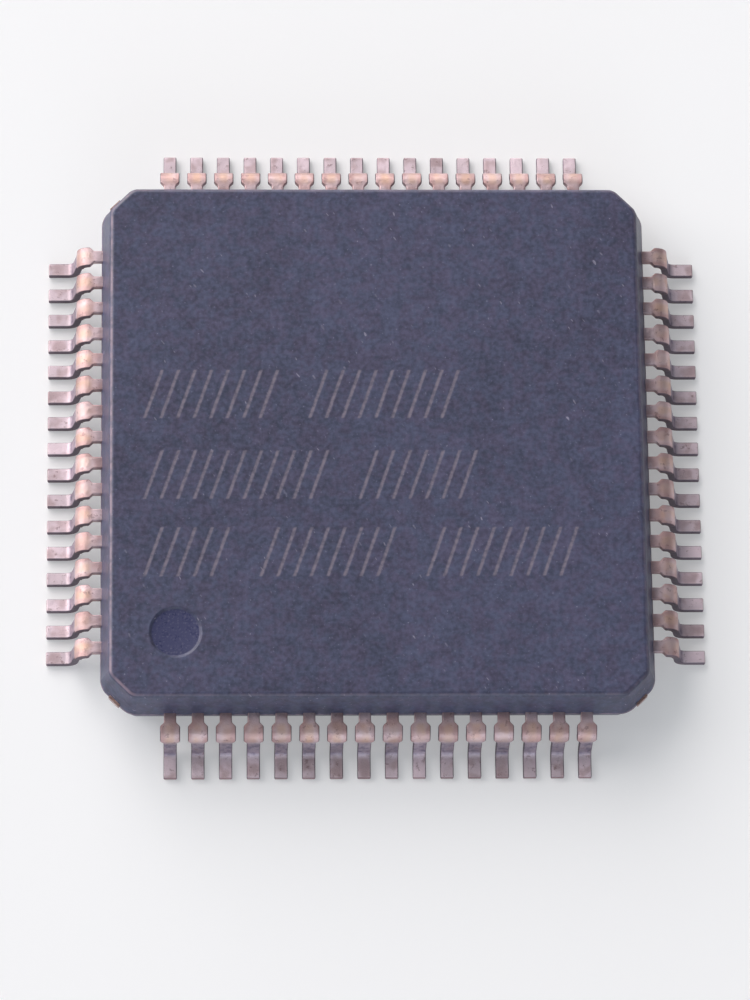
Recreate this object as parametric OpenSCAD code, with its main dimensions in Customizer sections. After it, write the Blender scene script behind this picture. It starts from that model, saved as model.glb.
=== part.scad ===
// Audio processor chip in a low profile quad flat pack.
// An epoxy body is moulded round a lead frame that carries the silicon die and its bond wires.
// Millimetres, +Z up, origin at the middle of the seating plane under the feet.
// Pin 1 is at the front left (-X, -Y) and the count runs anticlockwise seen from above.

/* [Moulded body] */
// Side of the square body at the parting line
body_w = 10; // [9.7:0.1:11]
// Thickness of the body
body_t = 1.4; // [1.2:0.05:1.6]
// Height of the body's underside over the seating plane
standoff = 0.1; // [0.05:0.01:0.15]
// Draft of the walls above and below the parting line, in degrees
draft = 13; // [8:1:14]
// Leg of the cut across each corner, between the centres of its end radii
corner_cut = 0.3; // [0.25:0.05:0.6]
// Radius at both ends of a corner cut, at the parting line
corner_r = 0.35; // [0.3:0.01:0.45]
// Radius of the upper and lower edges
edge_r = 0.1; // [0.03:0.01:0.12]

/* [Marks of the mould] */
// Diameter of the pin 1 dimple
dimple_d = 0.95; // [0.6:0.05:1.4]
// Depth of the pin 1 dimple
dimple_depth = 0.04; // [0.03:0.01:0.12]
// Middle of the pin 1 dimple to the parting line of both walls beside it
dimple_inset = 1.35; // [1:0.05:1.8]
// Diameter of the ejector pin marks under the body
ejector_d = 1.2; // [0.8:0.1:1.6]
// Depth of the ejector pin marks
ejector_depth = 0.04; // [0.02:0.01:0.08]
// Middle of an ejector pin mark to the parting line of both walls beside it
ejector_inset = 1.6; // [1.2:0.05:2]

/* [Leads outside the body] */
// Leads on each side
leads_per_side = 16; // [8:4:16]
// Distance between neighbouring leads
lead_pitch = 0.5; // [0.44:0.01:0.52]
// Thickness of the lead frame
lead_t = 0.13; // [0.1:0.01:0.16]
// Width of the leg and foot
lead_w = 0.24; // [0.18:0.01:0.27]
// Width of the neck where a lead leaves the body
neck_w = 0.22; // [0.18:0.01:0.27]
// Length of the neck outside the body
neck_l = 0.14; // [0.1:0.01:0.22]
// Width over the stubs that the cut dam bar leaves
dam_w = 0.36; // [0.3:0.01:0.4]
// Distance that the stubs run down the leg, below the underside of the shoulder
dam_drop = 0.18; // [0.13:0.01:0.2]
// Length of the slope at each end of a stub
dam_slope = 0.1; // [0.03:0.01:0.12]
// Reach of a lead from the body's parting line to its toe
lead_reach = 1; // [0.9:0.05:1.3]
// Straight shoulder between the body and the upper bend
shoulder_l = 0.24; // [0.16:0.01:0.32]
// Inside radius of the upper bend
upper_bend_r = 0.1; // [0.08:0.01:0.15]
// Inside radius of the lower bend
lower_bend_r = 0.12; // [0.08:0.01:0.18]
// Slope of the leg from the horizontal, in degrees
leg_angle = 80; // [70:1:85]

/* [Lead frame inside the body] */
// Distance from the middle to the inner tips of the leads
tip_ring = 2.95; // [2.85:0.05:3.2]
// Distance between neighbouring inner tips
tip_pitch = 0.3; // [0.26:0.01:0.32]
// Width of an inner tip
tip_w = 0.16; // [0.12:0.01:0.18]
// Depth inside the body at which a lead turns to run straight out
knee_inset = 0.4; // [0.3:0.05:0.6]
// Side of the square die pad
pad_w = 4.8; // [4.5:0.1:5]
// Distance that the die pad is set below the leads
downset = 0.2; // [0.12:0.01:0.25]
// Width of the tie bars that hold the die pad
tie_w = 0.25; // [0.2:0.01:0.3]
// Flat of a tie bar between the pad's corner and its ramp
tie_flat = 0.1; // [0.05:0.01:0.2]
// Slope of a tie bar's ramp, in degrees
tie_angle = 40; // [30:1:60]
// Distance that the cut end of a tie bar stands out of the body's corner
tie_stub = 0.03; // [0.01:0.01:0.06]

/* [Die and bond wires] */
// Side of the square die
die_w = 4; // [3.6:0.1:4.2]
// Thickness of the die
die_t = 0.28; // [0.22:0.01:0.35]
// Thickness of the adhesive under the die
attach_t = 0.03; // [0.02:0.005:0.05]
// Width of the adhesive that shows round the die
attach_lip = 0.08; // [0.04:0.01:0.12]
// Diameter of the bond wires
wire_d = 0.03; // [0.02:0.005:0.04]
// Height of a wire's loop over the die
loop_h = 0.16; // [0.14:0.01:0.25]
// Radius of a wire's bend over its ball
loop_r = 0.06; // [0.05:0.01:0.09]
// Diameter of the ball at a wire's start
ball_d = 0.08; // [0.06:0.005:0.1]
// Height of the ball at a wire's start
ball_h = 0.03; // [0.02:0.005:0.04]
// Middle of a ball to the die's edge in front of it
bond_inset = 0.1; // [0.08:0.01:0.2]
// Middle of a row's first ball to the die's edge beside it
bond_margin = 0.35; // [0.25:0.05:0.5]
// Middle of a wire's stitch to the inner tip of its lead
stitch_inset = 0.16; // [0.14:0.01:0.3]

/* [Hidden] */
$fn = 48;
sides = 4;
leads_per_node = 2;
wires_per_node = 4;
pins = sides * leads_per_side;
lead_nodes = pins / leads_per_node;
wire_nodes = pins / wires_per_node;

// Overrun of a cutting shape past the face that it cuts
over = 0.1;

// Heights over the seating plane
lead_z = standoff + body_t / 2;
lead_top = lead_z + lead_t / 2;
body_top = standoff + body_t;
pad_z = lead_z - lead_t / 2 - downset;
attach_z = pad_z + lead_t;
die_z = attach_z + attach_t;
die_top = die_z + die_t;

// The body's outline is an eight-sided core with the wall's section run round it
wall_r = body_w / 2;
core_half = wall_r - corner_r;
core_flat = core_half - corner_cut;
corner_d = (core_half + core_flat) / sqrt(2) + corner_r;
wall_top = corner_r - body_t / 2 * tan(draft);
edge_run = edge_r / tan(45 + draft / 2);
edge_steps = 5;

// A lead's leg falls by what its two bends leave, and its foot takes up the rest of the reach
bends_r = upper_bend_r + lower_bend_r + lead_t;
leg_drop = lead_z - lead_t / 2 - bends_r * (1 - cos(leg_angle));
leg_l = leg_drop / sin(leg_angle);
foot_l = lead_reach - shoulder_l - bends_r * sin(leg_angle) - leg_l * cos(leg_angle);
shoulder_r = wall_r + shoulder_l;
toe_r = wall_r + lead_reach;

// A lead's outline seen from above, and the end of its stubs seen from in front
knee_r = wall_r - knee_inset;
dam_start = wall_r + neck_l;
dam_end_z = lead_z - lead_t / 2 - dam_drop;
row_w = leads_per_side * lead_pitch + dam_w;

// A tie bar along its diagonal
pad_corner_d = pad_w / sqrt(2);
ramp_start = pad_corner_d + tie_flat;
ramp_end = ramp_start + downset / tan(tie_angle);
tie_end = corner_d + tie_stub;

// A bond wire's start on the die and stitch on its lead
bond_pitch = (die_w - 2 * bond_margin) / (leads_per_side - 1);
bond_r = die_w / 2 - bond_inset;
stitch_r = tip_ring + stitch_inset;
wire_neck_top = loop_h - loop_r;
wire_fall = die_top + wire_neck_top - lead_top;

// Place of a pin in its row, counted from the middle of the row
function row_place(pin) = pin % leads_per_side - (leads_per_side - 1) / 2;

// A list from its end to its start
function reversed(list) = [for (k = [len(list) - 1 : -1 : 0]) list[k]];

// Names of the nodes, by the first and last pin of each group
function two_digits(n) = str(n < 10 ? "0" : "", n);
function group_name(word, size, g) =
    str(word, "_", two_digits(g * size + 1), "_", two_digits((g + 1) * size));
function lead_node(g) = group_name("leads", leads_per_node, g);
function wire_node(g) = group_name("bond_wires", wires_per_node, g);

// Turns the front side's frame to the side that a pin is on
module on_side(pin) {
    rotate(90 * floor(pin / leads_per_side)) children();
}

// Upper half of the wall's section, from the core outwards, with its drafted face and rounded edge
function wall_half() = concat(
    [[corner_r, 0]],
    [for (k = [0 : edge_steps]) let (a = draft + (90 - draft) * k / edge_steps)
        [wall_top - edge_run + edge_r * cos(a), body_t / 2 - edge_r + edge_r * sin(a)]],
    [[0, body_t / 2]]
);

// The whole section of the wall, with the parting line at half its height
module wall_section() {
    polygon(concat(wall_half(), [for (p = reversed(wall_half())) [p.x, -p.y]]));
}

// A straight stretch of the wall, from the middle of its core line towards +Y
module straight_wall(length) {
    translate([0, length, 0]) rotate([90, 0, 0]) linear_extrude(length) wall_section();
}

// One of the two rounded turns at the ends of a corner cut
module turned_wall() {
    rotate_extrude(angle = 45) wall_section();
}

// The core that the walls stand round
module body_core() {
    quarter = [[core_half, core_flat], [core_flat, core_half]];
    outline = [for (side = [0 : sides - 1], p = quarter)
        [p.x * cos(90 * side) - p.y * sin(90 * side), p.x * sin(90 * side) + p.y * cos(90 * side)]];
    translate([0, 0, -body_t / 2]) linear_extrude(body_t) polygon(outline);
}

// Walls of one side and of the corner cut that follows it, which is run from both its ends
module side_walls() {
    translate([core_half, -core_flat, 0]) straight_wall(2 * core_flat);
    translate([core_half, core_flat, 0]) {
        turned_wall();
        rotate(45) straight_wall(corner_cut);
    }
    translate([core_flat, core_half, 0]) rotate(45) {
        turned_wall();
        translate([0, -corner_cut, 0]) straight_wall(corner_cut);
    }
}

// Outer form of the moulded body
module body_form() {
    translate([0, 0, lead_z]) {
        body_core();
        for (side = [0 : sides - 1]) rotate(90 * side) side_walls();
    }
}

// A shallow round mark with a wall at 45 degrees, cut down from z = 0
module round_mark(d, depth) {
    translate([0, 0, -depth]) cylinder(h = depth + over, d1 = d - 2 * depth, d2 = d + 2 * over);
}

module pin_1_dimple() {
    translate([dimple_inset - wall_r, dimple_inset - wall_r, body_top]) round_mark(dimple_d, dimple_depth);
}

module ejector_marks() {
    for (side = [0 : sides - 1]) rotate(90 * side)
        translate([wall_r - ejector_inset, wall_r - ejector_inset, standoff])
            mirror([0, 0, 1]) round_mark(ejector_d, ejector_depth);
}

// The epoxy body, closed round everything that it was moulded over
module mould_body() {
    color([0.31, 0.31, 0.39]) difference() {
        body_form();
        pin_1_dimple();
        ejector_marks();
        for (pin = [0 : pins - 1]) lead(pin);
        die_pad();
        die_attach();
        die();
        for (pin = [0 : pins - 1]) bond_wire(pin);
    }
}

// The sector of a ring that a strip makes as it bends down about the origin
module bend(inside_r, turn) {
    spoke = 2 * (inside_r + lead_t);
    intersection() {
        difference() {
            circle(inside_r + lead_t);
            circle(inside_r);
        }
        square(spoke);
        rotate(-turn) translate([-spoke, 0]) square(spoke);
    }
}

// Side section of a formed lead, piece after piece: x runs outwards from the middle of the body, y up
module strip_section() {
    translate([tip_ring - over, lead_z - lead_t / 2]) square([shoulder_r - tip_ring + over, lead_t]);
    translate([shoulder_r, lead_z - lead_t / 2 - upper_bend_r]) {
        bend(upper_bend_r, leg_angle);
        rotate(-leg_angle) translate([0, upper_bend_r]) {
            square([leg_l, lead_t]);
            translate([leg_l, lead_t + lower_bend_r]) {
                mirror([0, 1]) bend(lower_bend_r, leg_angle);
                rotate(leg_angle) translate([0, -lower_bend_r - lead_t]) square([foot_l + over, lead_t]);
            }
        }
    }
}

// One long edge of a lead's outline on the front side, from its inner tip to its toe
function lead_edge(place, edge) = let (x = place * lead_pitch) [
    [place * tip_pitch + edge * tip_w / 2, -tip_ring],
    [x + edge * neck_w / 2, -knee_r],
    [x + edge * neck_w / 2, -dam_start],
    [x + edge * dam_w / 2, -dam_start - dam_slope],
    [x + edge * dam_w / 2, -toe_r]
];

// One edge of the leg and foot seen from in front, widening at the end of the stubs and open above it
function leg_edge(edge) = [
    [edge * lead_w / 2, -over],
    [edge * lead_w / 2, dam_end_z],
    [edge * (dam_w - lead_w / 2), dam_end_z + 2 * dam_slope],
    [edge * row_w, dam_end_z + 2 * dam_slope],
    [edge * row_w, lead_top + over]
];

// A lead: the strip bent to its section, punched to its outline and trimmed to the width of its leg
module lead(pin) {
    place = row_place(pin);
    on_side(pin) intersection() {
        rotate([90, 0, -90]) linear_extrude(row_w, center = true) strip_section();
        translate([0, 0, -over]) linear_extrude(lead_top + 2 * over)
            polygon(concat(lead_edge(place, -1), reversed(lead_edge(place, 1))));
        translate([place * lead_pitch, 0, 0]) rotate([90, 0, 0]) linear_extrude(toe_r + over)
            polygon(concat(leg_edge(-1), reversed(leg_edge(1))));
    }
}

module lead_group(g) {
    color([0.84, 0.74, 0.7])
        for (k = [0 : leads_per_node - 1]) lead(g * leads_per_node + k);
}

// Side section of a tie bar: x runs out along the diagonal, y up
module tie_section() {
    bar_z = lead_z - lead_t / 2;
    polygon([
        [pad_corner_d - tie_w, pad_z],
        [ramp_start, pad_z],
        [ramp_end, bar_z],
        [tie_end, bar_z],
        [tie_end, lead_top],
        [ramp_end, lead_top],
        [ramp_start, attach_z],
        [pad_corner_d - tie_w, attach_z]
    ]);
}

// The plate under the die, with its four tie bars
module die_pad() {
    color([0.8, 0.6, 0.5]) {
        translate([-pad_w / 2, -pad_w / 2, pad_z]) cube([pad_w, pad_w, lead_t]);
        for (side = [0 : sides - 1]) rotate(45 + 90 * side)
            rotate([90, 0, 0]) linear_extrude(tie_w, center = true) tie_section();
    }
}

module die_attach() {
    side = die_w + 2 * attach_lip;
    color([0.75, 0.75, 0.72]) translate([-side / 2, -side / 2, attach_z]) cube([side, side, attach_t]);
}

module die() {
    color([0.35, 0.37, 0.45]) translate([-die_w / 2, -die_w / 2, die_z]) cube([die_w, die_w, die_t]);
}

// A wire's ball, neck, bend and straight run down to its stitch, along +X from its ball at z = 0
module wire_loop(span) {
    run = span - loop_r;
    fall = norm([run, wire_fall]);
    slope = round((atan2(wire_fall, run) + asin(loop_r / fall)) * 100) / 100;
    straight_l = sqrt(fall * fall - loop_r * loop_r);
    stitch_l = wire_d / tan(slope);
    cylinder(h = ball_h, d = ball_d);
    translate([0, 0, ball_h]) cylinder(h = wire_neck_top - ball_h, d = wire_d);
    difference() {
        translate([loop_r, 0, wire_neck_top]) rotate([90, 0, 0]) rotate(90 - slope) {
            rotate_extrude(angle = 90 + slope) translate([loop_r, 0]) circle(d = wire_d);
            translate([loop_r, 0, 0]) rotate([90, 0, 0]) cylinder(h = straight_l + stitch_l, d = wire_d);
        }
        translate([span - 2 * stitch_l, -wire_d, wire_neck_top - wire_fall - over])
            cube([4 * stitch_l, 2 * wire_d, over]);
    }
}

// A bond wire from its place on the die to the middle of its lead's inner tip
module bond_wire(pin) {
    place = row_place(pin);
    lead_pull = (lead_pitch - tip_pitch) * stitch_inset / (knee_r - tip_ring);
    start = [place * bond_pitch, -bond_r];
    stitch = [place * (tip_pitch + lead_pull), -stitch_r];
    way = stitch - start;
    on_side(pin) translate([start.x, start.y, die_top]) rotate(atan2(way.y, way.x)) wire_loop(norm(way));
}

module wire_group(g) {
    color([0.85, 0.65, 0.2])
        for (k = [0 : wires_per_node - 1]) bond_wire(g * wires_per_node + k);
}

mould_body();
die_pad();
die_attach();
die();
for (g = [0 : lead_nodes - 1]) {
    lead_group(g);
}
for (g = [0 : wire_nodes - 1]) {
    wire_group(g);
}
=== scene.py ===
"""Audio processor chip: the looks of a quad flat pack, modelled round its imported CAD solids.

The epoxy body and the plated leads are modelled here in place of their plain solids. The die, its
pad, its adhesive and the bond wires keep their solids and get their finishes.
"""
from math import cos, pi, radians, sin, tan
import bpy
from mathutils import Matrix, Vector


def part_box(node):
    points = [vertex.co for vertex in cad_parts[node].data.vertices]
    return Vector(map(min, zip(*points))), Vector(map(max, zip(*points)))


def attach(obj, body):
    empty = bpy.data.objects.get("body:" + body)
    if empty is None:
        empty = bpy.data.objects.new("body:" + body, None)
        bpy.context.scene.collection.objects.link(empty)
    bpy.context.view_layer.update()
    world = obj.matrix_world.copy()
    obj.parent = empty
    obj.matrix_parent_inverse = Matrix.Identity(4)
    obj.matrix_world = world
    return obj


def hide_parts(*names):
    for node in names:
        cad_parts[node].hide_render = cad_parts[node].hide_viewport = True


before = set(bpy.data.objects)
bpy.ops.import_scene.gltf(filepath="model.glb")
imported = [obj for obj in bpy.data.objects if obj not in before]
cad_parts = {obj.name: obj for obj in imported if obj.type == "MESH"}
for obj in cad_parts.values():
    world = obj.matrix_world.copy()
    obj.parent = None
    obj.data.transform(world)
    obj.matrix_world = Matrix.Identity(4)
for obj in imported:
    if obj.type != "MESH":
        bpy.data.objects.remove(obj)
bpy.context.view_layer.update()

from types import SimpleNamespace

import bmesh
import bpy
from bpy.props import FloatProperty, FloatVectorProperty, IntProperty, PointerProperty
from mathutils import Matrix, Vector

bl_info = {
    "name": "Audio processor chip",
    "version": (1, 0, 0),
    "blender": (4, 5, 0),
    "location": "View3D > Sidebar > Chip",
    "description": "Models the body and leads of a quad flat pack round its packed solids",
    "category": "Add Mesh",
}

# Metres in a millimetre. A piece is modelled with a millimetre as its unit, and is brought to
# metres when it is done.
MM = 0.001
# Distances that count as none where vertices are picked, and where doubles are merged
TINY = 0.001
DOUBLES = 0.0001
# Sides of the pack that carry leads
SIDES = 4
BODY_LOW, BODY_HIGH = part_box("mould_body")
LEAD_NODES = sorted(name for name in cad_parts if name.startswith("leads_"))
WIRE_NODES = sorted(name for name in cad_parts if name.startswith("bond_wires_"))

# Steps in which the curves of the body are cut
CORNER_STEPS = 7
EDGE_STEPS = 6
SEAM_STEPS = 2
RIM_STEPS = 3
CUTTER_SIDES = 96
# How far the cutter of a round mark stands over the body, in millimetres
CUTTER_OVER = 0.1
# Steps in which the curves of a lead are cut
ROLLED_STEPS = 3
EASE_STEPS = 5
BEND_STEPS = 9
# Angles past which an edge is shaded sharp, and past which an edge of a strip is a punched one
BODY_SHARP = radians(32)
LEAD_SHARP = radians(40)
PUNCHED_SHARP = radians(60)
# Weight of a face's area in the shading of its corners
AREA_WEIGHT = 80
# Profile of a bevel that is part of a circle
ROUND_PROFILE = 0.5


def screen_colour(red, green, blue):
    """A colour as a screen shows it, from 0 to 255, in the linear values that shaders take."""
    parts = (value / 255 for value in (red, green, blue))
    return tuple(p / 12.92 if p <= 0.04045 else ((p + 0.055) / 1.055) ** 2.4 for p in parts)


def length(name, description, millimetres):
    """A length that a user can change."""
    return FloatProperty(
        name=name, description=description, default=millimetres * MM, min=0, unit="LENGTH", precision=5,
    )


def angle(name, description, degrees):
    """An angle that a user can change."""
    return FloatProperty(
        name=name, description=description, default=radians(degrees), subtype="ANGLE", unit="ROTATION",
    )


def colour(name, description, red, green, blue):
    """A colour that a user can change, given as a screen shows it."""
    return FloatVectorProperty(
        name=name, description=description, default=screen_colour(red, green, blue), size=3, min=0, max=1,
        subtype="COLOR",
    )


def brightness(name, description, value):
    """A strength of even light that a user can change."""
    return FloatProperty(name=name, description=description, default=value, min=0)


def power(name, description, watts):
    """The power of a lamp that a user can change."""
    return FloatProperty(name=name, description=description, default=watts, min=0, unit="POWER")


class ChipBody(bpy.types.PropertyGroup):
    """Sizes and colours of the moulded body"""

    width: length("Width", "Side of the square body at the parting line", (BODY_HIGH.x - BODY_LOW.x) / MM)
    height: length("Height", "Thickness of the body", (BODY_HIGH.z - BODY_LOW.z) / MM)
    standoff: length("Standoff", "Height of the underside over the seating plane", BODY_LOW.z / MM)
    draft: angle("Draft", "Slope of the walls above and below the parting line", 13)
    corner_cut: length("Corner cut", "Leg of the cut across each corner, with sharp ends", 0.505)
    corner_r: length("Corner radius", "Radius at both ends of a corner cut", 0.35)
    edge_r: length("Edge radius", "Radius of the upper and lower edges", 0.1)
    seam_w: length("Seam width", "Half width of the bead along the parting line", 0.02)
    seam_h: length("Seam height", "Height of the bead along the parting line", 0.01)
    dimple_d: length("Dimple diameter", "Diameter of the pin 1 dimple", 0.95)
    dimple_depth: length("Dimple depth", "Depth of the pin 1 dimple", 0.04)
    dimple_inset: length("Dimple inset", "Middle of the dimple to both walls beside it", 1.35)
    ejector_d: length("Ejector diameter", "Diameter of the ejector pin marks underneath", 1.2)
    ejector_depth: length("Ejector depth", "Depth of the ejector pin marks", 0.04)
    ejector_inset: length("Ejector inset", "Middle of an ejector pin mark to both walls beside it", 1.6)
    mark_rim_r: length("Mark rim", "Rounding of the rim and the floor of each round mark", 0.012)
    cool: colour("Cool tone", "Cooler tone of the epoxy", 73, 77, 100)
    warm: colour("Warm tone", "Warmer tone of the epoxy", 77, 75, 98)
    speck: colour("Speck tone", "Tone of the filler grains that show", 134, 130, 148)
    polish: colour("Dimple tone", "Tone of the polished floor of the dimple", 64, 66, 98)
    laser: colour("Laser tone", "Tone of the laser-marked fields", 124, 115, 128)
    # The rubbed tone is also a painted highlight along the upper edge's rounding
    flash_and_painted_highlight: colour("Rubbed tone", "Tone of the rubbed parting line and upper edge", 154, 134, 146)


class ChipLeads(bpy.types.PropertyGroup):
    """Sizes and colours of the formed leads"""

    per_side: IntProperty(
        name="Leads per side", description="Leads on each side of the body", default=16, min=1,
    )
    pitch: length("Pitch", "Distance between neighbouring leads", 0.5)
    thickness: length("Thickness", "Thickness of the lead frame", 0.13)
    width: length("Width", "Width of the leg and foot", 0.24)
    neck_w: length("Neck width", "Width of the neck where a lead leaves the body", 0.22)
    neck_l: length("Neck length", "Length of the neck outside the body", 0.14)
    stub_w: length("Stub width", "Width over the stubs that the cut dam bar leaves", 0.36)
    slope_l: length("Slope length", "Length of the slope at each end of a stub", 0.1)
    reach: length("Reach", "Reach of a lead from the parting line to its toe", 1)
    shoulder_l: length("Shoulder length", "Straight shoulder between the body and the upper bend", 0.24)
    upper_r: length("Upper bend radius", "Inside radius of the upper bend", 0.1)
    lower_r: length("Lower bend radius", "Inside radius of the lower bend", 0.12)
    leg_angle: angle("Leg angle", "Slope of the leg from the horizontal", 80)
    tip_ring: length("Tip ring", "Distance from the middle to the inner tips", 2.95)
    tip_pitch: length("Tip pitch", "Distance between neighbouring inner tips", 0.3)
    tip_w: length("Tip width", "Width of an inner tip", 0.16)
    knee_inset: length("Knee inset", "Depth inside the body at which a lead turns to run straight out", 0.4)
    rolled_r: length("Rolled edge", "Rounding of the punched edges", 0.022)
    plating: colour("Plating", "Pale plating on the shoulders and feet", 230, 213, 220)
    # The rubbed tone also paints shade along the sides of each shoulder
    rubbed_and_painted_light: colour("Rubbed plating", "Warmer tone where the plating is thin", 198, 164, 162)
    # A painted warm highlight tint for the middle of each shoulder
    painted_highlight_tint: colour("Brassy plating", "Yellowed tone in the middle of a shoulder", 218, 180, 148)
    # Painted shade down the leg
    shaded: colour("Drawn plating", "Dull tone of the plating drawn down the leg", 128, 118, 136)
    bare: colour("Bare copper", "Cut end, worn foot and spots with no plating", 150, 121, 122)
    # Darkened copper on the punched sides, partly a painted shade outline, and painted shade on the neck
    # next to the body
    punched_sides_and_painted_shade: colour("Punched side", "Darkened copper on the punched sides and the neck", 96, 84, 96)


class ChipStage(bpy.types.PropertyGroup):
    """The camera and the light of the studio"""

    camera: FloatVectorProperty(
        name="Camera", description="Place of the camera", default=(-0.003569, -0.028764, 0.088589), size=3,
        subtype="TRANSLATION", unit="LENGTH", precision=5,
    )
    lens: FloatProperty(
        name="Lens", description="Focal length of the camera", default=181.99, unit="CAMERA",
    )
    walls: brightness("Walls", "Strength of the even light from all round", 0.76)
    ceiling: brightness("Ceiling", "Strength of the even light from above", 0.28)
    fill: brightness("Fill", "Share of the even light that comes from the right", 0.5)
    key: power("Key", "Power of the soft light on the left", 1.72)
    back: power("Back", "Power of the soft light behind", 0.16)
    front: power("Front", "Power of the soft light in front", 0.32)
    floor: colour("Floor", "Tone of the floor", 250, 250, 251)


def in_millimetres(group):
    """All values of a property group, with its lengths in millimetres."""
    values = SimpleNamespace()
    for prop in group.bl_rna.properties:
        if prop.identifier in ("rna_type", "name"):
            continue
        value = getattr(group, prop.identifier)
        if getattr(prop, "unit", "") == "LENGTH":
            value /= MM
        setattr(values, prop.identifier, value)
    return values


def only(piece):
    """Makes a piece the one that is selected and active."""
    bpy.ops.object.select_all(action="DESELECT")
    piece.select_set(True)
    bpy.context.view_layer.objects.active = piece


def new_primitive(add, name, **values):
    """Adds a primitive with nothing else selected, and names it."""
    bpy.ops.object.select_all(action="DESELECT")
    add(**values)
    piece = bpy.context.object
    piece.name = piece.data.name = name
    return piece


def edit(piece):
    """Opens a piece in edit mode."""
    only(piece)
    bpy.ops.object.mode_set(mode="EDIT")


def done():
    """Closes edit mode."""
    bpy.ops.object.mode_set(mode="OBJECT")


def pick(piece, kind, test):
    """Selects the verts or edges of a piece in edit mode whose corners all pass a test of their place."""
    bpy.ops.mesh.select_mode(type={"verts": "VERT", "edges": "EDGE"}[kind])
    bpy.ops.mesh.select_all(action="DESELECT")
    shape = bmesh.from_edit_mesh(piece.data)
    for part in getattr(shape, kind):
        corners = [part] if kind == "verts" else part.verts
        part.select_set(all(test(corner.co) for corner in corners))
    bmesh.update_edit_mesh(piece.data)


def round_off(kind, offset, steps):
    """Bevels the vertices or edges that are selected in edit mode, to a round profile."""
    bpy.ops.mesh.bevel(affect=kind, offset=offset, segments=steps, profile=ROUND_PROFILE)


def apply_place():
    """Puts the place, turn and scale of the selected piece into its mesh."""
    bpy.ops.object.transform_apply(location=True, rotation=True, scale=True)


def apply_modifier(piece, kind, **values):
    """Adds a modifier to a piece and applies it."""
    only(piece)
    modifier = piece.modifiers.new(kind.title(), kind)
    for name, value in values.items():
        setattr(modifier, name, value)
    bpy.ops.object.modifier_apply(modifier=modifier.name)


def close_shape(piece):
    """Merges the doubles of a piece and turns its faces outwards."""
    edit(piece)
    bpy.ops.mesh.select_all(action="SELECT")
    bpy.ops.mesh.remove_doubles(threshold=DOUBLES)
    bpy.ops.mesh.normals_make_consistent(inside=False)
    done()


def smooth(piece, limit):
    """Shades a piece smooth, apart from its edges sharper than a limit, and keeps its flats flat."""
    only(piece)
    bpy.ops.object.shade_smooth_by_angle(angle=limit)
    apply_modifier(piece, "WEIGHTED_NORMAL", mode="FACE_AREA", weight=AREA_WEIGHT, keep_sharp=True)


def settle(piece):
    """Brings a finished piece from millimetres to metres, with its place in its mesh."""
    only(piece)
    apply_place()
    piece.scale = (MM, MM, MM)
    apply_place()


class Nodes:
    """A tree of shader nodes. A call adds nodes and gives back the last one's output."""

    def __init__(self, tree):
        self.tree = tree

    def feed(self, socket, value):
        """Links an output to a socket, or sets a number, a vector or a colour on it."""
        if isinstance(value, bpy.types.NodeSocket):
            self.tree.links.new(value, socket)
        elif socket.type == "RGBA":
            socket.default_value = (*value, 1)
        else:
            socket.default_value = value

    def add(self, kind, inputs, output=0, **settings):
        """Adds a node of a kind, with its inputs and settings."""
        node = self.tree.nodes.new("ShaderNode" + kind)
        for name, value in settings.items():
            setattr(node, name, value)
        for key, value in inputs.items():
            self.feed(node.inputs[key], value)
        return node.outputs[output]

    def split(self, vector):
        """The three outputs of a vector's parts."""
        node = self.tree.nodes.new("ShaderNodeSeparateXYZ")
        self.feed(node.inputs[0], vector)
        return node.outputs

    def join(self, x, y, z):
        return self.add("CombineXYZ", {0: x, 1: y, 2: z})

    def math(self, operation, *values):
        return self.add("Math", dict(enumerate(values)), operation=operation)

    def plus(self, first, second):
        return self.math("ADD", first, second)

    def minus(self, first, second):
        return self.math("SUBTRACT", first, second)

    def times(self, first, second):
        return self.math("MULTIPLY", first, second)

    def most(self, first, second):
        return self.math("MAXIMUM", first, second)

    def without_sign(self, value):
        return self.math("ABSOLUTE", value)

    def noise(self, where, scale, detail=2.0, roughness=0.5):
        """Noise whose scale is its number of cells along a millimetre."""
        inputs = {"Vector": where, "Scale": scale, "Detail": detail, "Roughness": roughness}
        return self.add("TexNoise", inputs)

    def level(self, value, low, high, start=0.0, end=1.0):
        """Goes smoothly from start to end as a value goes from low to high."""
        inputs = {0: value, 1: low, 2: high, 3: start, 4: end}
        return self.add("MapRange", inputs, interpolation_type="SMOOTHSTEP")

    def band(self, value, middle, half, soft):
        """One within half of a middle, fading to zero over a soft edge."""
        away = self.without_sign(self.minus(value, middle))
        return self.level(away, half - soft, half + soft, start=1.0, end=0.0)

    def mix(self, share, first, second):
        return self.add("Mix", {0: share, 6: first, 7: second}, 2, data_type="RGBA")

    def scaled(self, vector, share):
        """A vector or a colour multiplied by a number."""
        return self.add("VectorMath", {0: vector, "Scale": share}, operation="SCALE")


class Finish(Nodes):
    """The nodes of a piece's material."""

    def __init__(self, name):
        self.material = bpy.data.materials.new(name)
        self.material.use_nodes = True
        super().__init__(self.material.node_tree)
        self.shader = self.tree.nodes["Principled BSDF"]

    def surface(self, **inputs):
        """Feeds the shader's own sockets, named as in base_color."""
        for name, value in inputs.items():
            socket = name.replace("_", " ").title().replace("Ior", "IOR")
            self.feed(self.shader.inputs[socket], value)

    def place(self):
        """Place on the piece, in millimetres."""
        return self.scaled(self.add("TexCoord", {}, "Object"), 1 / MM)

    def bump(self, height, depth, strength):
        """Normals that a height gives, with its depth in millimetres."""
        return self.add("Bump", {"Strength": strength, "Distance": depth * MM, "Height": height})


# The laser-hatched fields on the top face: the middle height of each row, then where each field of
# it starts and ends, counted in strokes from the middle of the face. Lengths are in millimetres.
LASER_ROWS = (
    (0.85, ((-14, -6), (-4, 5))),
    (-0.69, ((-14, -3), (-1, 6))),
    (-2.15, ((-14, -9), (-7, 1), (3, 12))),
)
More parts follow.
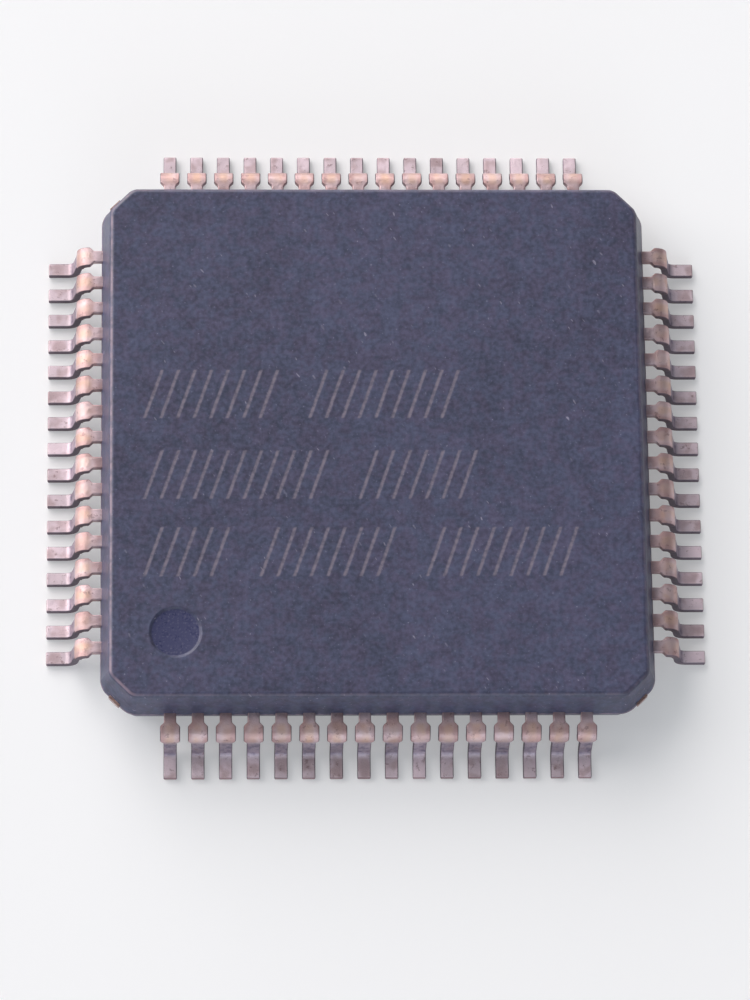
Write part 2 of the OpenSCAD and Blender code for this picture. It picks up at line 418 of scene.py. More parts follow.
# Half the height of a row, and the pitch, the width and the soft edges of its strokes
LASER_HALF = 0.46
LASER_PITCH = 0.3
LASER_STROKE = 0.058
LASER_SOFT = 0.02
# Sideways lean of a stroke for its height
LASER_LEAN = 0.35
# Soft ends of a field, in strokes
FIELD_SOFT = 0.05
# Depths below the top face between which the marking stops
LASER_LOW = 0.01
LASER_HIGH = 0.005


def laser_fields(finish, x, y, z, top):
    """Mask of the leaning strokes with which the laser fills plain fields on the top face."""
    fields = 0.0
    half = LASER_STROKE / LASER_PITCH / 2
    soft = LASER_SOFT / LASER_PITCH
    for middle, spans in LASER_ROWS:
        height = finish.minus(y, middle)
        leaned = finish.minus(x, finish.times(height, LASER_LEAN))
        count = finish.math("DIVIDE", leaned, LASER_PITCH)
        across = 0.0
        for first, last in spans:
            span = finish.band(count, (first + last) / 2, (last - first) / 2, FIELD_SOFT)
            across = finish.plus(span, across)
        off = finish.without_sign(finish.minus(finish.math("FRACT", count), 0.5))
        stroke = finish.level(off, half - soft, half + soft, start=1.0, end=0.0)
        in_row = finish.band(height, 0.0, LASER_HALF, LASER_SOFT)
        fields = finish.plus(finish.times(in_row, finish.times(stroke, across)), fields)
    on_top = finish.level(z, top - LASER_LOW, top - LASER_HIGH)
    return finish.times(fields, on_top)


# Soft edges of the seam and of the dimple's floor, in millimetres
SEAM_SOFT = 0.006
DIMPLE_SOFT = 0.02
# Shares of the dimple's depth between which its floor's finish starts
FLOOR_LOW = 1.2
FLOOR_HIGH = 1.1
# Shares of the edge's radius: the depth, the half width and the soft edges of the rubbed band, which is
# partly a painted highlight
RUBBED_DEPTH = 0.22
RUBBED_HALF = 0.14
RUBBED_SOFT = 0.06
# Shares of the dimple's diameter, from its middle, between which the rubbed band starts
RUBBED_NEAR = 0.6
RUBBED_CLEAR = 0.65
# Shares of the body's width, to the left, between which the rubbing and its painted highlight are full and
# weak, so that the band is strongest on the lit left side
RUBBED_FULL = 0.47
RUBBED_WEAK = 0.4
# Sideways lean of the flecks, and their stretch
FLECK_LEAN = 0.5
FLECK_STRETCH = 0.45
# What the laser and the polish change in roughness and in relief
LASER_ROUGHER = 0.15
LASER_DEEPER = 0.3
POLISH_SMOOTHER = 0.08
POLISH_FLATTER = 0.8


def filler_specks(finish, at, fine):
    """Mask of the filler grains that show, and of longer flecks that lie in clusters."""
    x, y, z = finish.split(at)
    grains = finish.level(fine, 0.69, 0.77, end=0.7)
    leaned = finish.plus(x, finish.times(y, FLECK_LEAN))
    streaked = finish.join(leaned, finish.times(y, FLECK_STRETCH), z)
    flecks = finish.level(finish.noise(streaked, 14.0, detail=0.0), 0.785, 0.83, end=0.8)
    clusters = finish.level(finish.noise(at, 0.9, detail=1.0), 0.42, 0.6)
    return finish.most(grains, finish.times(flecks, clusters))


def epoxy_shade(finish, at, grain):
    """How much lighter or darker the epoxy is from place to place, from its grain to broad patches."""
    coarse = finish.noise(at, 3.6, detail=1.0)
    broad = finish.noise(at, 0.35)
    shade = finish.plus(
        finish.level(grain, 0.25, 0.75, start=0.77, end=1.23),
        finish.level(coarse, 0.25, 0.75, start=-0.12, end=0.12),
    )
    return finish.plus(shade, finish.level(broad, 0.35, 0.65, start=-0.07, end=0.07))


def from_dimple(finish, x, y, size):
    """Distance from the middle of the dimple, seen from above."""
    middle = size.dimple_inset - size.width / 2
    offset = finish.join(finish.minus(x, middle), finish.minus(y, middle), 0.0)
    return finish.add("VectorMath", {0: offset}, "Value", operation="LENGTH")


def edge_wear_and_painted_highlight(finish, x, z, away, mottle, size):
    """Mask of the rubbed upper edge, partly a painted highlight on its rounding, strongest on the left
    where the light falls, away from the dimple's rim.
    """
    top = size.standoff + size.height
    edge_r = size.edge_r
    rounding = finish.times(
        finish.band(z, top - edge_r * RUBBED_DEPTH, edge_r * RUBBED_HALF, edge_r * RUBBED_SOFT),
        finish.level(away, size.dimple_d * RUBBED_NEAR, size.dimple_d * RUBBED_CLEAR),
    )
    rubbed_and_painted_light = finish.times(rounding, finish.level(mottle, 0.36, 0.66, start=0.3, end=0.75))
    leftmost = finish.level(x, -size.width * RUBBED_FULL, -size.width * RUBBED_WEAK, start=1.0, end=0.3)
    return finish.times(rubbed_and_painted_light, leftmost)


def moulded_epoxy(size):
    """Filled black epoxy with the fine matt grain of its mould, laser-marked on top."""
    finish = Finish("moulded_epoxy")
    at = finish.place()
    x, y, z = finish.split(at)
    top = size.standoff + size.height
    grain = finish.noise(at, 12.0, roughness=0.55)
    fine = finish.noise(at, 24.0)
    mottle = finish.noise(at, 5.0)
    tone = finish.mix(finish.level(mottle, 0.36, 0.64), size.cool, size.warm)
    tone = finish.mix(filler_specks(finish, at, fine), tone, size.speck)
    tone = finish.scaled(tone, epoxy_shade(finish, at, grain))
    seam = finish.band(z, size.standoff + size.height / 2, size.seam_w, SEAM_SOFT)
    seam = finish.times(seam, finish.level(mottle, 0.36, 0.6, start=0.3, end=0.85))
    tone = finish.mix(seam, tone, size.flash_and_painted_highlight)
    away = from_dimple(finish, x, y, size)
    floor_r = size.dimple_d / 2 - size.dimple_depth
    polished = finish.times(
        finish.level(away, floor_r - DIMPLE_SOFT, floor_r + DIMPLE_SOFT, start=1.0, end=0.0),
        finish.level(z, top - size.dimple_depth * FLOOR_LOW, top - size.dimple_depth * FLOOR_HIGH),
    )
    floor_tone = finish.mix(finish.level(fine, 0.52, 0.74, end=0.3), size.polish, size.speck)
    tone = finish.mix(polished, tone, floor_tone)
    # Painted highlight along the rounding of the upper edge, with some wear, strongest on the left
    tone = finish.mix(edge_wear_and_painted_highlight(finish, x, z, away, mottle, size), tone, size.flash_and_painted_highlight)
    fields = laser_fields(finish, x, y, z, top)
    marked = finish.times(fields, finish.level(grain, 0.3, 0.7, start=0.45, end=1.0))
    tone = finish.mix(marked, tone, size.laser)
    rough = finish.level(grain, 0.3, 0.7, start=0.34, end=0.44)
    rough = finish.plus(rough, finish.times(fields, LASER_ROUGHER))
    rough = finish.minus(rough, finish.times(polished, POLISH_SMOOTHER))
    rises = finish.times(grain, finish.minus(1.0, finish.times(polished, POLISH_FLATTER)))
    relief = finish.minus(rises, finish.times(fields, LASER_DEEPER))
    finish.surface(
        base_color=tone, roughness=rough, specular_ior_level=0.4,
        normal=finish.bump(relief, depth=0.008, strength=0.6),
    )
    return finish.material


# Zones of a lead, in millimetres: how far below the middle of its shoulder the shoulder's finish
# starts and is full, how far over the foot its finish fades, and how far a wavy edge wanders
SHOULDER_LOW = 0.26
SHOULDER_FULL = 0.12
FOOT_FADE = 0.05
WANDER = 0.06
# Distances from the toe between which the foot's wear grows, and at which the cut end starts
WEAR_START = 0.45
WEAR_FULL = 0.1
TOE_START = 0.012
TOE_FULL = 0.004
# Distances from the wall between which the painted shade on the neck next to the body fades, and how far
# that fading wanders
NECK_DARK = 0.04
NECK_CLEAR = 0.2
NECK_WANDER = 0.1
# Width of the darkest line along a punched side; the dark side is partly a painted shade outline
SIDE_DARK = 0.004
# Distances from the middle of a lead between which its shoulder goes from a painted highlight to painted
# shade, its painted warm highlight tint fades, and its foot wears less
PAINTED_SHOULDER_LIGHT = (0.06, 0.17)
YELLOW = (0.03, 0.13)
WORN = (0.04, 0.14)
# What is added to the roughness on the leg, the foot and the shoulder
LEG_ROUGHER = 0.08
FOOT_ROUGHER = 0.25
SHOULDER_ROUGHER = 0.09
# Shares of the fine grain in the bare spots and in the relief
FINE_IN_SPOTS = 0.3
FINE_IN_RELIEF = 0.4


def plated_copper(size, wall_r, shoulder_z):
    """Thin pale plating on copper: worn on the foot and in patches, with a painted highlight down the
    middle of each shoulder and painted shade at its sides, painted shade down the leg and next to the body,
    and dark on the sides, partly painted shade.
    """
    finish = Finish("plated_copper")
    at = finish.place()
    x, y, z = finish.split(at)
    across_x = finish.without_sign(x)
    across_y = finish.without_sign(y)
    reach = finish.most(across_x, across_y)
    along_row = finish.math("MINIMUM", across_x, across_y)
    in_pitch = finish.math("FRACT", finish.math("DIVIDE", along_row, size.pitch))
    off_middle = finish.times(finish.without_sign(finish.minus(in_pitch, 0.5)), size.pitch)
    toe_r = wall_r + size.reach
    cloud = finish.noise(at, 9.0, detail=3.0, roughness=0.6)
    fine = finish.noise(at, 38.0, detail=3.0, roughness=0.6)
    patch = finish.noise(at, 4.0, detail=1.0)
    each = finish.noise(at, 1.3, detail=1.0)
    tint_patches = finish.noise(at, 2.4, detail=1.0)
    on_shoulder = finish.level(z, shoulder_z - SHOULDER_LOW, shoulder_z - SHOULDER_FULL)
    on_foot = finish.level(z, size.thickness, size.thickness + FOOT_FADE, start=1.0, end=0.0)
    leg = finish.minus(1.0, finish.most(on_shoulder, on_foot))
    wavy = finish.plus(off_middle, finish.times(finish.minus(cloud, 0.5), WANDER))
    # Painted light across each shoulder: a paler middle as its highlight and darker, warmer sides as its
    # shade, with random patches of thin plating all over
    thin_and_painted_light = finish.times(finish.level(wavy, *PAINTED_SHOULDER_LIGHT, start=0.6, end=0.95), on_shoulder)
    thin_and_painted_light = finish.plus(thin_and_painted_light, finish.level(patch, 0.35, 0.65, start=-0.2, end=0.3))
    tone = finish.mix(thin_and_painted_light, size.plating, size.rubbed_and_painted_light)
    # Painted warm highlight tint in the middle of each shoulder, in patches
    highlight_tint_mask = finish.times(
        finish.level(wavy, *YELLOW, start=1.0, end=0.0),
        finish.level(tint_patches, 0.4, 0.62, start=0.2, end=0.5),
    )
    past_neck = finish.level(reach, wall_r + size.neck_l, wall_r + size.shoulder_l)
    highlight_tint_mask = finish.times(finish.times(highlight_tint_mask, past_neck), on_shoulder)
    tone = finish.mix(highlight_tint_mask, tone, size.painted_highlight_tint)
    worn = finish.times(
        finish.level(wavy, *WORN, start=1.0, end=0.2),
        finish.level(patch, 0.4, 0.7, end=0.35),
    )
    worn = finish.times(worn, finish.level(reach, toe_r - WEAR_START, toe_r - WEAR_FULL))
    tone = finish.mix(finish.times(worn, on_foot), tone, size.bare)
    # Painted shade down the leg
    painted_leg_shade = finish.times(leg, finish.level(cloud, 0.3, 0.6, start=0.95, end=0.6))
    tone = finish.mix(painted_leg_shade, tone, size.shaded)
    toe = finish.level(reach, toe_r - TOE_START, toe_r - TOE_FULL, end=0.8)
    spots = finish.plus(cloud, finish.times(fine, FINE_IN_SPOTS))
    spots = finish.level(spots, 0.74, 0.86, end=0.6)
    tone = finish.mix(finish.most(toe, spots), tone, size.bare)
    half_w = finish.level(on_shoulder, 0.0, 1.0, start=size.width / 2, end=size.stub_w / 2)
    # Dark punched sides, partly a painted shade outline along the lead's edges
    side = finish.level(finish.minus(half_w, off_middle), SIDE_DARK, size.rolled_r, start=0.85, end=0.0)
    # Painted shade on the neck next to the body
    from_wall = finish.plus(reach, finish.times(cloud, NECK_WANDER))
    neck = finish.level(from_wall, wall_r + NECK_DARK, wall_r + NECK_CLEAR, start=0.45, end=0.0)
    tone = finish.mix(finish.most(side, neck), tone, size.punched_sides_and_painted_shade)
    tone = finish.scaled(tone, finish.level(each, 0.3, 0.7, start=0.85, end=1.08))
    rough = finish.level(fine, 0.3, 0.7, start=0.37, end=0.5)
    for zone, rougher in ((leg, LEG_ROUGHER), (on_foot, FOOT_ROUGHER), (on_shoulder, SHOULDER_ROUGHER)):
        rough = finish.plus(rough, finish.times(zone, rougher))
    relief = finish.plus(finish.times(fine, FINE_IN_RELIEF), cloud)
    finish.surface(
        base_color=tone, metallic=0.65, roughness=rough,
        normal=finish.bump(relief, depth=0.02, strength=0.5),
    )
    return finish.material


# Reach of the cut ends of the tie bars, as x and y added up, and the depth of their finish, in
# millimetres
CUT_END = 9.48
CUT_DEPTH = 0.03
# Stretch of the streaks along the rolling, and down a cut end
ROLLED_STRETCH = 0.15
SHEARED_STRETCH = 0.3


def rolled_copper():
    """The lead frame's own copper alloy, with the streaks of its rolling."""
    finish = Finish("rolled_copper")
    at = finish.place()
    x, y, z = finish.split(at)
    along_rolling = finish.join(finish.times(x, ROLLED_STRETCH), y, z)
    streaks = finish.noise(along_rolling, 26.0, detail=4.0, roughness=0.6)
    cloud = finish.noise(at, 3.0, detail=3.0, roughness=0.6)
    tone = finish.mix(
        finish.level(streaks, 0.3, 0.7), screen_colour(206, 160, 138), screen_colour(228, 190, 170),
    )
    tone = finish.scaled(tone, finish.level(cloud, 0.3, 0.7, start=0.85, end=1.05))
    out = finish.plus(finish.without_sign(x), finish.without_sign(y))
    drawn_down = finish.join(x, y, finish.times(z, SHEARED_STRETCH))
    sheared = finish.noise(drawn_down, 22.0, roughness=0.6)
    sheared = finish.level(sheared, 0.35, 0.65, start=0.3, end=0.9)
    cut_end = finish.times(finish.level(out, CUT_END - CUT_DEPTH, CUT_END), sheared)
    tone = finish.mix(cut_end, tone, screen_colour(150, 124, 124))
    rough = finish.level(streaks, 0.3, 0.7, start=0.28, end=0.42)
    finish.surface(
        base_color=tone, metallic=0.75, roughness=rough,
        normal=finish.bump(streaks, depth=0.008, strength=0.5),
    )
    return finish.material


def silver_paste():
    """Cured adhesive, grey with flakes of silver."""
    finish = Finish("silver_paste")
    at = finish.place()
    flakes = finish.noise(at, 60.0, roughness=0.7)
    lumps = finish.noise(at, 8.0, detail=3.0, roughness=0.6)
    tone = finish.mix(
        finish.level(flakes, 0.5, 0.62), screen_colour(150, 150, 146), screen_colour(205, 205, 200),
    )
    tone = finish.scaled(tone, finish.level(lumps, 0.3, 0.7, start=0.85, end=1.05))
    shine = finish.level(flakes, 0.5, 0.62, start=0.1, end=0.8)
    finish.surface(
        base_color=tone, metallic=shine, roughness=0.45,
        normal=finish.bump(lumps, depth=0.01, strength=0.6),
    )
    return finish.material


# Depths below the top of the die between which its sawn sides start, and half the pitch of its
# wiring with the edges of a line, in millimetres
SAWN_LOW = 0.006
SAWN_HIGH = 0.002
WIRING_HALF = 0.02
WIRING_LOW = 0.006
WIRING_HIGH = 0.014
# Keeps the count of the wiring above zero all over the die
WIRING_START = 10.0
# Shares of the blocks and of the lines in the tone of the die's top
BLOCKS_SHARE = 0.55
LINES_SHARE = 0.25
# Stretch of the saw's marks along the sides
SAWN_STRETCH = 0.2


def patterned_silicon():
    """A die: blocks of fine wiring under a clear layer on top, sawn grey sides."""
    finish = Finish("patterned_silicon")
    at = finish.place()
    x, y, z = finish.split(at)
    blocks = finish.add("TexVoronoi", {"Vector": at, "Scale": 1.6}, "Color", distance="CHEBYCHEV")
    wiring = finish.math("PINGPONG", finish.plus(finish.plus(x, y), WIRING_START), WIRING_HALF)
    lines = finish.level(wiring, WIRING_LOW, WIRING_HIGH)
    tone = finish.mix(BLOCKS_SHARE, screen_colour(92, 98, 122), blocks)
    tone = finish.mix(finish.times(lines, LINES_SHARE), tone, screen_colour(150, 140, 120))
    along_saw = finish.join(finish.times(x, SAWN_STRETCH), finish.times(y, SAWN_STRETCH), z)
    sawn = finish.noise(along_saw, 60.0, detail=3.0, roughness=0.6)
    die_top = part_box("die")[1].z / MM
    on_top = finish.level(z, die_top - SAWN_LOW, die_top - SAWN_HIGH)
    side = finish.mix(
        finish.level(sawn, 0.3, 0.7), screen_colour(78, 80, 90), screen_colour(112, 114, 124),
    )
    rough = finish.level(on_top, 0.0, 1.0, start=0.5, end=0.16)
    finish.surface(
        base_color=finish.mix(on_top, side, tone), roughness=rough, metallic=0.2,
        normal=finish.bump(sawn, depth=0.003, strength=0.4),
    )
    return finish.material


def drawn_gold():
    """Gold wire with the fine lines of its drawing."""
    finish = Finish("drawn_gold")
    lines = finish.noise(finish.place(), 90.0, detail=3.0, roughness=0.6)
    tone = finish.mix(
        finish.level(lines, 0.3, 0.7), screen_colour(224, 176, 92), screen_colour(244, 208, 128),
    )
    rough = finish.level(lines, 0.3, 0.7, start=0.18, end=0.3)
    finish.surface(
        base_color=tone, metallic=1.0, roughness=rough,
        normal=finish.bump(lines, depth=0.002, strength=0.4),
    )
    return finish.material


def dress(piece, material):
    """Gives a piece one material."""
    piece.data.materials.clear()
    piece.data.materials.append(material)


def round_marks(size):
    """Middle, diameter, depth, height and upward side of each shallow round mark in the body."""
    dimple = size.dimple_inset - size.width / 2
    top = size.standoff + size.height
    marks = [SimpleNamespace(x=dimple, y=dimple, z=top, up=1, d=size.dimple_d, depth=size.dimple_depth)]
    inset = size.width / 2 - size.ejector_inset
    for x, y in ((inset, inset), (-inset, inset), (-inset, -inset), (inset, -inset)):
        mark = SimpleNamespace(x=x, y=y, z=size.standoff, up=-1, d=size.ejector_d, depth=size.ejector_depth)
        marks.append(mark)
    return marks


def half_body(size):
    """The body above its parting line: eight sides with rounded corners, drafted up to a rounded edge."""
    half_h = size.height / 2
    piece = new_primitive(bpy.ops.mesh.primitive_plane_add, "epoxy_body", size=size.width)
    edit(piece)
    round_off("VERTICES", size.corner_cut, steps=1)
    bpy.ops.mesh.select_all(action="SELECT")
    round_off("VERTICES", size.corner_r * tan(pi / 8), CORNER_STEPS)
    bpy.ops.mesh.select_all(action="SELECT")
    bpy.ops.mesh.inset(thickness=half_h * tan(size.draft), depth=half_h)
    pick(piece, "edges", lambda co: co.z > half_h - TINY)
    round_off("EDGES", size.edge_r * tan(pi / 4 - size.draft / 2), EDGE_STEPS)
    done()
    return piece


def raise_seam(piece, size):
    """A fine bead along the parting line, where the two halves of the mould met."""
    edit(piece)
    pick(piece, "edges", lambda co: abs(co.z) < TINY)
    round_off("EDGES", size.seam_w, SEAM_STEPS)
    pick(piece, "verts", lambda co: abs(co.z) < TINY)
    grown = 1 + 2 * size.seam_h / size.width
    bpy.ops.transform.resize(value=(grown, grown, 1), center_override=(0, 0, 0))
    done()


def sink_marks(piece, size):
    """Cuts the pin 1 dimple and the ejector pin marks, and rounds their rims and floors."""
    marks = round_marks(size)
    for mark in marks:
        inner = mark.d / 2 - mark.depth
        outer = mark.d / 2 + CUTTER_OVER
        radii = (inner, outer) if mark.up > 0 else (outer, inner)
        middle = (mark.x, mark.y, mark.z + mark.up * (CUTTER_OVER - mark.depth) / 2)
        cutter = new_primitive(
            bpy.ops.mesh.primitive_cone_add, "mark_cutter", vertices=CUTTER_SIDES, radius1=radii[0],
            radius2=radii[1], depth=mark.depth + CUTTER_OVER, location=middle,
        )
        apply_modifier(piece, "BOOLEAN", operation="DIFFERENCE", solver="EXACT", object=cutter)
        bpy.data.objects.remove(cutter)

    def on_a_rim(co):
        for mark in marks:
            away = Vector((co.x - mark.x, co.y - mark.y)).length
            rise = co.z - mark.z
            rim = abs(rise) < TINY and abs(away - mark.d / 2) < TINY
            sunk = abs(rise + mark.up * mark.depth) < TINY and abs(away - mark.d / 2 + mark.depth) < TINY
            if rim or sunk:
                return True
        return False

    edit(piece)
    pick(piece, "edges", on_a_rim)
    shape = bmesh.from_edit_mesh(piece.data)
    for edge in shape.edges:
        if edge.select and abs(edge.verts[0].co.z - edge.verts[1].co.z) > TINY:
            edge.select_set(False)
    bmesh.update_edit_mesh(piece.data)
    round_off("EDGES", size.mark_rim_r, RIM_STEPS)
    done()


class CHIP_OT_mould_body(bpy.types.Operator):
    """Models the moulded body with its drafted walls, rounded edges, seam, dimple and ejector marks"""

    bl_idname = "chip.mould_body"
    bl_label = "Mould the body"

    def execute(self, context):
        size = in_millimetres(context.scene.chip_body)
        piece = half_body(size)
        apply_modifier(piece, "MIRROR", use_axis=(False, False, True), merge_threshold=TINY)
        raise_seam(piece, size)
        piece.location.z = size.standoff + size.height / 2
        apply_place()
        close_shape(piece)
        sink_marks(piece, size)
        close_shape(piece)
        settle(piece)
        smooth(piece, BODY_SHARP)
        dress(piece, moulded_epoxy(size))
        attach(piece, "root")
        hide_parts("mould_body")
        return {"FINISHED"}


class Strip:
    """A strip of sheet metal that grows from its end face, as a lead is formed. Its middle is at x = 0."""

    def __init__(self, name, reach, width, thickness):
        self.piece = new_primitive(
            bpy.ops.mesh.primitive_plane_add, name, size=1, location=(0, -reach, thickness / 2),
            rotation=(pi / 2, 0, 0),
        )
        self.piece.scale = (width, thickness, 1)
        apply_place()
        self.width = width
        edit(self.piece)
        bpy.ops.mesh.select_mode(type="FACE")
        bpy.ops.mesh.select_all(action="SELECT")

    def run(self, inwards, upwards=0.0, width=None):
        """Grows straight, to another width where one is given."""
        bpy.ops.mesh.extrude_region_move(TRANSFORM_OT_translate={"value": (0, inwards, upwards)})
        if width:
            bpy.ops.transform.resize(value=(width / self.width, 1, 1), center_override=(0, 0, 0))
            self.width = width

    def ease(self, inwards, upwards, width):
        """Grows straight with a soft change of width."""
        first = self.width
        for step in range(1, EASE_STEPS + 1):
            share = (1 - cos(pi * step / EASE_STEPS)) / 2
            self.run(inwards / EASE_STEPS, upwards / EASE_STEPS, first + (width - first) * share)

    def bend(self, inwards, height, turn):
        """Bends up about a line across the strip by a turn, or down by a negative one."""
        bpy.ops.mesh.spin(steps=BEND_STEPS, angle=-turn, center=(0, inwards, height), axis=(1, 0, 0))


def formed_lead(size, wall_r, lead_z):
    """One lead of the front side from its toe to its inner tip, as punched, plated and bent."""
    t = size.thickness
    turn = size.leg_angle
    bends_r = size.upper_r + size.lower_r + t
    leg_l = (lead_z - t / 2 - bends_r * (1 - cos(turn))) / sin(turn)
    foot_l = size.reach - size.shoulder_l - bends_r * sin(turn) - leg_l * cos(turn)
    toe_r = wall_r + size.reach
    shoulder_r = wall_r + size.shoulder_l
    slope_up = size.slope_l / sin(turn)
    strip = Strip("lead_form", toe_r, size.width, t)
    strip.run(foot_l)
    strip.bend(foot_l - toe_r, t + size.lower_r, turn)
    plain_l = leg_l - slope_up
    strip.run(plain_l * cos(turn), plain_l * sin(turn))
    strip.ease(slope_up * cos(turn), slope_up * sin(turn), size.stub_w)
    strip.bend(-shoulder_r, lead_z - t / 2 - size.upper_r, -turn)
    strip.ease(size.slope_l, 0.0, size.neck_w)
    strip.run(size.neck_l + size.knee_inset)
    strip.run(wall_r - size.knee_inset - size.tip_ring, 0.0, size.tip_w)
    bpy.ops.mesh.select_all(action="SELECT")
    bpy.ops.mesh.normals_make_consistent(inside=False)
    bpy.ops.mesh.select_mode(type="EDGE")
    bpy.ops.mesh.select_all(action="DESELECT")
    bpy.ops.mesh.edges_select_sharp(sharpness=PUNCHED_SHARP)
    round_off("EDGES", size.rolled_r, ROLLED_STEPS)
    done()
    return strip.piece


def lead_in_place(form, pin, size):
    """A copy of the lead's form at a pin's place, with its inner tip drawn over to its own spacing."""
    side, place = divmod(pin, size.per_side)
    place -= (size.per_side - 1) / 2
    only(form)
    bpy.ops.object.duplicate(linked=False)
    copy = bpy.context.object
    edit(copy)
    pick(copy, "verts", lambda co: co.y > -size.tip_ring - 2 * size.rolled_r)
    bpy.ops.transform.translate(value=(place * (size.tip_pitch - size.pitch), 0, 0))
    done()
    copy.location.x = place * size.pitch
    apply_place()
    copy.rotation_euler.z = 2 * pi * side / SIDES
    apply_place()
    return copy


class CHIP_OT_leads(bpy.types.Operator):
    """Forms one lead from a strip and sets its copies round the body, two to a piece"""

    bl_idname = "chip.leads"
    bl_label = "Form the leads"

    def execute(self, context):
        body = in_millimetres(context.scene.chip_body)
        size = in_millimetres(context.scene.chip_leads)
        wall_r = body.width / 2
        lead_z = body.standoff + body.height / 2
        plating = plated_copper(size, wall_r, lead_z)
        form = formed_lead(size, wall_r, lead_z)
        smooth(form, LEAD_SHARP)
        for node in LEAD_NODES:
            first, last = (int(number) - 1 for number in node.split("_")[1:])
            leads = [lead_in_place(form, pin, size) for pin in range(first, last + 1)]
            only(leads[0])
            for lead in leads:
                lead.select_set(True)
            bpy.ops.object.join()
            piece = context.object
            piece.name = piece.data.name = "formed_" + node
            settle(piece)
            dress(piece, plating)
            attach(piece, "root")
            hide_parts(node)
        bpy.data.objects.remove(form)
        return {"FINISHED"}


class CHIP_OT_inner_parts(bpy.types.Operator):
    """Gives the die, its pad, its adhesive and the bond wires their finishes"""

    bl_idname = "chip.inner_parts"
    bl_label = "Finish the inner parts"

    def execute(self, context):
        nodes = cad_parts
        dress(nodes["die_pad"], rolled_copper())
        dress(nodes["die_attach"], silver_paste())
        dress(nodes["die"], patterned_silicon())
        gold = drawn_gold()
        for name in WIRE_NODES:
            dress(nodes[name], gold)
        return {"FINISHED"}


# Directions of the camera's picture
CAMERA_RIGHT = (0.99926, -0.01254, 0.03647)
CAMERA_DOWN = (-0.00094, -0.9533, -0.30201)
CAMERA_FORWARD = (0.03856, 0.30175, -0.95261)
# Width of the camera's sensor in millimetres, and the nearest and furthest that it sees, in metres
SENSOR_WIDTH = 36
NEAREST = 0.002
FURTHEST = 20
# Side of the floor in metres, and how much of it glows where it is seen directly
FLOOR_SIDE = 3
FLOOR_GLOW = 0.3
# Tones of light
WARM_LIGHT = (1.0, 0.955, 0.935)
COOL_LIGHT = (0.78, 0.89, 1.0)
AIR_LIGHT = (0.925, 0.98, 1.07)
# The soft lights, aimed at the origin: the value that holds the power, the name, the place and the
# side in metres, and the tone
SOFT_LIGHTS = (
    ("key", "left_softbox", (-0.23, 0.19, 0.16), 0.42, WARM_LIGHT),
    ("back", "back_softbox", (-0.05, 0.18, 0.09), 0.14, WARM_LIGHT),
    ("front", "front_softbox", (0.04, -0.3, 0.08), 0.24, COOL_LIGHT),
)
# Heights of a direction between which the walls' light turns to the ceiling's
WALLS_HIGH = 0.0
CEILING_LOW = 0.6
# How far to the left a direction points where the air's light is lowest, and where it is full
LEFT = (-1, 0, 0)
FILL_END = -0.9
FILL_START = 0.5


def pale_floor(tone):
    """A pale floor that keeps the shadow on it, and is near white where nothing shades it."""
    finish = Finish("pale_floor")
    finish.surface(base_color=tone, roughness=0.9, specular_ior_level=0.0)
    seen = 0.0
    for kind in ("Is Camera Ray", "Is Glossy Ray", "Is Transmission Ray"):
        seen = finish.most(finish.add("LightPath", {}, kind), seen)
    share = finish.times(seen, FLOOR_GLOW)
    glow = finish.add("Emission", {})
    blend = finish.add("MixShader", {0: share, 1: finish.shader.outputs[0], 2: glow})
    finish.feed(finish.tree.nodes["Material Output"].inputs["Surface"], blend)
    return finish.material


def studio_air(look):
    """Even light from all round, weaker from above and from the right."""
    world = bpy.data.worlds.new("studio_air")
    world.use_nodes = True
    air = Nodes(world.node_tree)
    around = air.add("TexCoord", {}, "Generated")
    light = air.level(air.split(around)["Z"], WALLS_HIGH, CEILING_LOW, look.walls, look.ceiling)
    leftwards = air.add("VectorMath", {0: around, 1: LEFT}, "Value", operation="DOT_PRODUCT")
    uneven = air.level(leftwards, FILL_END, FILL_START, start=look.fill)
    background = air.tree.nodes["Background"]
    air.feed(background.inputs["Strength"], air.times(light, uneven))
    air.feed(background.inputs["Color"], AIR_LIGHT)
    return world


def soft_light(name, place, side, watts, tone):
    """A square soft light at a place, aimed at the origin."""
    data = bpy.data.lights.new(name, "AREA")
    data.shape = "SQUARE"
    data.size = side
    data.energy = watts
    data.color = tone
    lamp = bpy.data.objects.new(name, data)
    lamp.location = place
    lamp.rotation_euler = (-Vector(place)).to_track_quat("-Z", "Y").to_euler()
    bpy.context.scene.collection.objects.link(lamp)


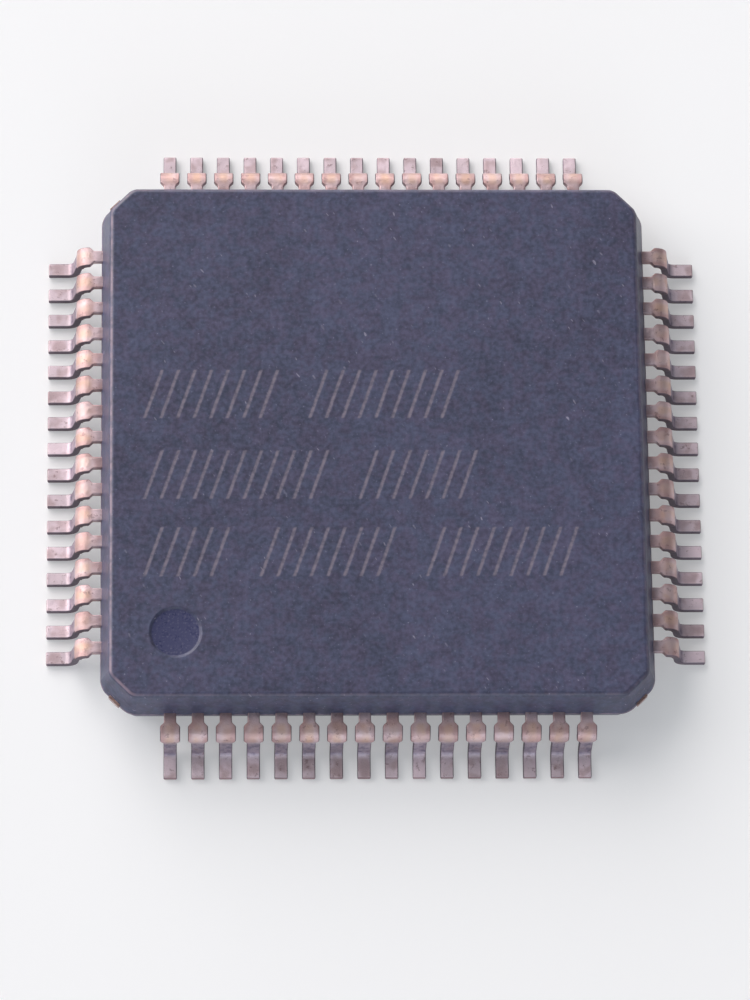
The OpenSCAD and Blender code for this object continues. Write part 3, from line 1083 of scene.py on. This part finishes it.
def studio_camera(look):
    """The camera, at its place and turned to its directions."""
    data = bpy.data.cameras.new("camera")
    data.lens = look.lens
    data.sensor_width = SENSOR_WIDTH
    data.sensor_fit = "AUTO"
    data.clip_start = NEAREST
    data.clip_end = FURTHEST
    camera = bpy.data.objects.new("camera", data)
    axes = (Vector(CAMERA_RIGHT), -Vector(CAMERA_DOWN), -Vector(CAMERA_FORWARD))
    turned = Matrix([[axis[row] for axis in axes] for row in range(3)]).to_4x4()
    camera.matrix_world = Matrix.Translation(look.camera) @ turned
    bpy.context.scene.collection.objects.link(camera)
    return camera


class CHIP_OT_stage(bpy.types.Operator):
    """Sets up the pale floor, the soft studio light and the camera"""

    bl_idname = "chip.stage"
    bl_label = "Set the stage"

    def execute(self, context):
        scene = context.scene
        look = scene.chip_stage
        floor = new_primitive(bpy.ops.mesh.primitive_plane_add, "studio_floor", size=FLOOR_SIDE)
        dress(floor, pale_floor(look.floor))
        scene.world = studio_air(look)
        for watts, name, place, side, tone in SOFT_LIGHTS:
            soft_light(name, place, side, getattr(look, watts), tone)
        scene.camera = studio_camera(look)
        scene.view_settings.view_transform = "Standard"
        return {"FINISHED"}


class CHIP_PT_sidebar(bpy.types.Panel):
    """Lists the chip's pieces and sizes in the sidebar"""

    bl_label = "Audio processor chip"
    bl_space_type = "VIEW_3D"
    bl_region_type = "UI"
    bl_category = "Chip"

    def draw(self, context):
        scene = context.scene
        for operator, group in (
            (CHIP_OT_mould_body, scene.chip_body),
            (CHIP_OT_leads, scene.chip_leads),
            (CHIP_OT_inner_parts, None),
            (CHIP_OT_stage, scene.chip_stage),
        ):
            box = self.layout.box()
            box.operator(operator.bl_idname)
            for name in group.__annotations__ if group else ():
                box.prop(group, name)


CLASSES = (
    ChipBody, ChipLeads, ChipStage,
    CHIP_OT_mould_body, CHIP_OT_leads, CHIP_OT_inner_parts, CHIP_OT_stage,
    CHIP_PT_sidebar,
)


def register():
    for cls in CLASSES:
        bpy.utils.register_class(cls)
    bpy.types.Scene.chip_body = PointerProperty(type=ChipBody)
    bpy.types.Scene.chip_leads = PointerProperty(type=ChipLeads)
    bpy.types.Scene.chip_stage = PointerProperty(type=ChipStage)


def unregister():
    del bpy.types.Scene.chip_stage
    del bpy.types.Scene.chip_leads
    del bpy.types.Scene.chip_body
    for cls in reversed(CLASSES):
        bpy.utils.unregister_class(cls)


def main():
    register()
    bpy.ops.chip.mould_body()
    bpy.ops.chip.leads()
    bpy.ops.chip.inner_parts()
    bpy.ops.chip.stage()


if __name__ == "__main__":
    main()
